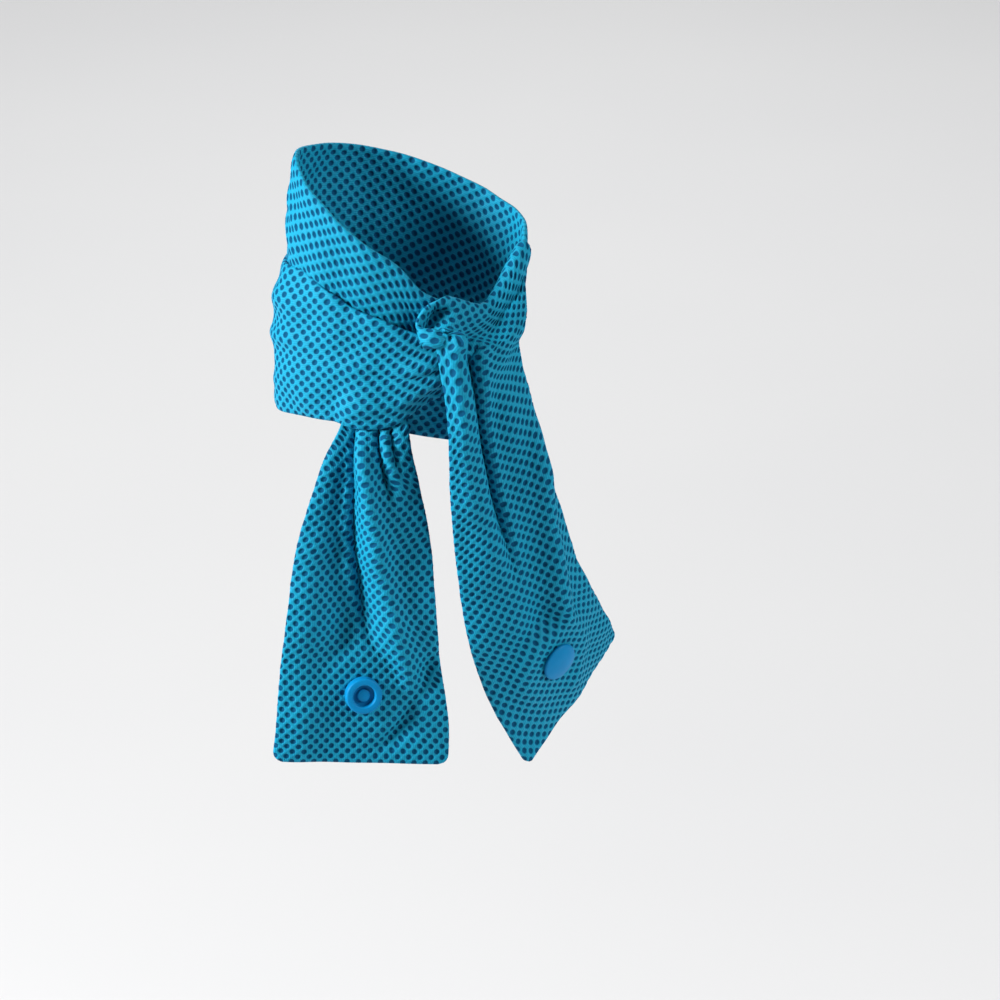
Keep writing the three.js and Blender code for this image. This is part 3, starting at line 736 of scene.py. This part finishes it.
def moulded_acetal():
    """Injection-moulded acetal: an even blue with a soft, waxy gloss and faint mould texture."""
    material, tree, shader = new_material("moulded_acetal")
    place = add_node(tree, "TexCoord").outputs["Object"]
    # Flow of the plastic in the mould, in clouds of about 4 mm
    cloudy = add_node(tree, "TexNoise", [("Vector", place), ("Scale", 260.0), ("Detail", 2.0)])
    colour = add_node(tree, "MixRGB", [
        (0, cloudy.outputs["Fac"]), (1, linear("#0377AE")), (2, linear("#0682BC")),
    ])
    tree.links.new(colour.outputs[0], shader.inputs["Base Color"])
    # Spark-eroded mould face, about 0.15 mm grain
    grain = add_node(tree, "TexNoise", [("Vector", place), ("Scale", 6500.0), ("Detail", 2.0)])
    bump = add_node(tree, "Bump", [
        ("Strength", 0.12), ("Distance", 0.05 * MM), ("Height", grain.outputs["Fac"]),
    ])
    tree.links.new(bump.outputs[0], shader.inputs["Normal"])
    shader.inputs["Roughness"].default_value = 0.45
    shader.inputs["Specular IOR Level"].default_value = 0.12
    shader.inputs["IOR"].default_value = 1.48
    shader.inputs["Subsurface Weight"].default_value = 0.08
    shader.inputs["Subsurface Radius"].default_value = (0.0004, 0.0008, 0.0015)
    return material


KNIT = knitted_polyester_mesh()
ACETAL = moulded_acetal()


# Snaps

# Radii of the cap's post and of the hole that it goes through, and heights above the cloth's
# middle surface: the cloth's own face, the base on which the post's end is flattened, and the tops
# of the socket's rim and of the stud's head
POST_RADIUS = 1.2
HOLE_RADIUS = 1.5
CLOTH_FACE = 0.5 * CLOTH_THICKNESS
BASE_TOP = 2.2
SOCKET_TOP = 4.2
STUD_TOP = 4.9

# Turning: steps round the axis, the weld at the poles in millimetres, and the rounding of edges
# that are sharper than an angle in radians
TURN_STEPS = 72
POLE_WELD = 0.01
SHARP_ANGLE = 0.6
ROUNDING = 0.16
ROUNDING_STEPS = 3


def turned_piece(name, snap, capped_front, profile):
    """A moulded piece spun about the snap's axis. Heights of the profile run along the cloth's
    front normal, or along its back where the cap is in front."""
    bm = bmesh.new()
    verts = [bm.verts.new((radius, 0, height)) for radius, height in profile]
    edges = [bm.edges.new(pair) for pair in zip(verts, verts[1:])]
    bmesh.ops.spin(bm, geom=verts + edges, cent=(0, 0, 0), axis=(0, 0, 1), angle=2 * math.pi,
                   steps=TURN_STEPS, use_merge=True)
    bmesh.ops.remove_doubles(bm, verts=bm.verts, dist=POLE_WELD)
    bmesh.ops.recalc_face_normals(bm, faces=bm.faces)
    sharp = [e for e in bm.edges if len(e.link_faces) == 2 and e.calc_face_angle() > SHARP_ANGLE]
    bmesh.ops.bevel(bm, geom=sharp, offset=ROUNDING, offset_type="OFFSET", segments=ROUNDING_STEPS,
                    profile=0.5, affect="EDGES", clamp_overlap=True, material=-1)
    axis = Vector(snap["front"]) * (-1 if capped_front else 1)
    turn = Vector((0, 0, 1)).rotation_difference(axis).to_matrix().to_4x4()
    place = Matrix.Translation(Vector(snap["centre"])) @ turn
    bmesh.ops.transform(bm, matrix=Matrix.Scale(MM, 4) @ place, verts=bm.verts)
    for face in bm.faces:
        face.smooth = True
    piece = new_object(name, bm, ACETAL)
    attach(piece, "root")
    return piece


def arc(radius, height, size, start, end, steps=6):
    """Points of a rounded corner of a profile, between two angles in degrees."""
    angles = [math.radians(start + (end - start) * k / steps) for k in range(steps + 1)]
    return [(radius + size * math.cos(a), height + size * math.sin(a)) for a in angles]


def cap(name, snap, capped_front):
    """A domed cap behind the cloth, with a post through it that is flattened at its end."""
    under = -CLOTH_FACE
    return turned_piece(name, snap, capped_front, [
        (0, under - 2.25), (1.5, under - 2.21), (3.0, under - 2.06), (4.3, under - 1.78),
        (5.2, under - 1.46),
        *arc(5.55, under - 0.72, 0.65, -80, 60),
        (5.7, under), (POST_RADIUS, under), (POST_RADIUS, BASE_TOP + 0.15),
        (1.75, BASE_TOP + 0.15), *arc(1.65, BASE_TOP + 0.55, 0.35, -45, 80),
        (POST_RADIUS, BASE_TOP + 0.98), (0, BASE_TOP + 1.02),
    ])


def socket(name, snap):
    """A round rim with a recess that a stud's head snaps into."""
    return turned_piece(name, snap, False, [
        (HOLE_RADIUS, CLOTH_FACE), (5.35, CLOTH_FACE),
        *arc(5.2, CLOTH_FACE + 0.4, 0.4, -60, 0),
        (5.6, SOCKET_TOP - 0.75), *arc(5.0, SOCKET_TOP - 0.6, 0.6, 0, 90), (4.3, SOCKET_TOP),
        *arc(3.9, SOCKET_TOP - 0.45, 0.45, 90, 180),
        (3.35, SOCKET_TOP - 1.0), (3.4, BASE_TOP), (HOLE_RADIUS, BASE_TOP),
        (HOLE_RADIUS, CLOTH_FACE),
    ])


def stud(name, snap):
    """A flange with a hollow round head, behind the cloth."""
    return turned_piece(name, snap, True, [
        (HOLE_RADIUS, CLOTH_FACE), (5.1, CLOTH_FACE),
        *arc(4.95, CLOTH_FACE + 0.35, 0.35, -60, 60),
        (4.6, BASE_TOP), (2.8, BASE_TOP), (2.8, BASE_TOP + 0.9),
        (3.1, BASE_TOP + 1.5), *arc(2.75, STUD_TOP - 0.35, 0.35, 0, 90),
        (2.3, STUD_TOP), (2.3, BASE_TOP), (HOLE_RADIUS, BASE_TOP), (HOLE_RADIUS, CLOTH_FACE),
    ])


# Camera, floor and lights

# Half the floor's side and its height, in metres
FLOOR_REACH = 12
FLOOR_HEIGHT = -0.5
WORLD_STRENGTH = 0.14

# Lights: name, place, what it points at, width in metres and power in watts
LIGHTS = [
    ("key", (-1.42, -0.55, 0.66), (0, 0, -0.04), 0.5, 55),
    ("fill", (1.4, -0.45, 0.6), (0.02, 0, -0.05), 0.9, 18),
    ("backdrop", (0, 1.8, 1.1), (0, 1.8, -0.5), 1.4, 21),
]


def add_camera():
    """The photo's view: from the front and 22 degrees above, through a long lens."""
    tilt = math.radians(22)
    target = Vector((32.3, -19.4, -48.1)) * MM
    distance = 1.5
    frame_width = 0.305
    data = bpy.data.cameras.new("camera")
    data.sensor_width = 36
    data.sensor_fit = "HORIZONTAL"
    data.lens = data.sensor_width * distance / frame_width
    data.clip_start = 0.05
    data.clip_end = 50
    camera = bpy.data.objects.new("camera", data)
    camera.location = target - distance * Vector((0, math.cos(tilt), -math.sin(tilt)))
    camera.rotation_euler = (math.pi / 2 - tilt, 0, 0)
    bpy.context.scene.collection.objects.link(camera)
    bpy.context.scene.camera = camera


def add_light(name, place, aim, size, power):
    """A round white lamp."""
    data = bpy.data.lights.new(name, "AREA")
    data.shape = "DISK"
    data.size = size
    data.energy = power
    light = bpy.data.objects.new(name, data)
    light.location = place
    light.rotation_euler = (Vector(aim) - Vector(place)).to_track_quat("-Z", "Y").to_euler()
    bpy.context.scene.collection.objects.link(light)


def matt_paper():
    """Pale grey background paper with a faint, wide mottle."""
    material, tree, shader = new_material("matt_paper")
    place = add_node(tree, "TexCoord").outputs["Object"]
    mottle = add_node(tree, "TexNoise", [("Vector", place), ("Scale", 3.0), ("Detail", 2.0)])
    tone = add_node(tree, "MixRGB", [
        (0, mottle.outputs["Fac"]), (1, linear("#D8D8D9")), (2, linear("#DDDDDD")),
    ])
    tree.links.new(tone.outputs[0], shader.inputs["Base Color"])
    shader.inputs["Roughness"].default_value = 0.95
    return material


def add_studio():
    """A wide paper floor, a dim sky and three lamps."""
    bm = bmesh.new()
    bmesh.ops.create_grid(bm, x_segments=1, y_segments=1, size=FLOOR_REACH)
    bmesh.ops.translate(bm, verts=bm.verts, vec=(0, 0, FLOOR_HEIGHT))
    floor = new_object("floor", bm, matt_paper())
    world = bpy.data.worlds.new("studio")
    world.use_nodes = True
    background = world.node_tree.nodes["Background"]
    background.inputs["Color"].default_value = linear("#F0F2F4")
    background.inputs["Strength"].default_value = WORLD_STRENGTH
    bpy.context.scene.world = world
    for light in LIGHTS:
        add_light(*light)
    bpy.context.scene.view_settings.view_transform = "Standard"


add_camera()
add_studio()

inner_turn = cloth_piece("band_inner_turn", inner_turn_points(), BAND_PITCH, closed=True, anchor=1)
outer_turn = cloth_piece("band_outer_turn", outer_turn_points(), BAND_PITCH, anchor=0.0)
left_tail = cloth_piece("left_tail", left_tail_points(), TAIL_PITCH, corner=LEFT_CORNER)
right_tail = cloth_piece("right_tail", right_tail_points(), TAIL_PITCH, corner=RIGHT_CORNER)
for cloth in (inner_turn, outer_turn, left_tail, right_tail):
    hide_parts("cloth_strip")

left_cap = cap("left_cap", LEFT_SNAP, False)
left_socket = socket("left_socket", LEFT_SNAP)
right_cap = cap("right_cap", RIGHT_SNAP, True)
right_stud = stud("right_stud", RIGHT_SNAP)
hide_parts("left_snap_cap")
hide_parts("left_snap_socket")
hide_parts("right_snap_cap")
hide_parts("right_snap_stud")
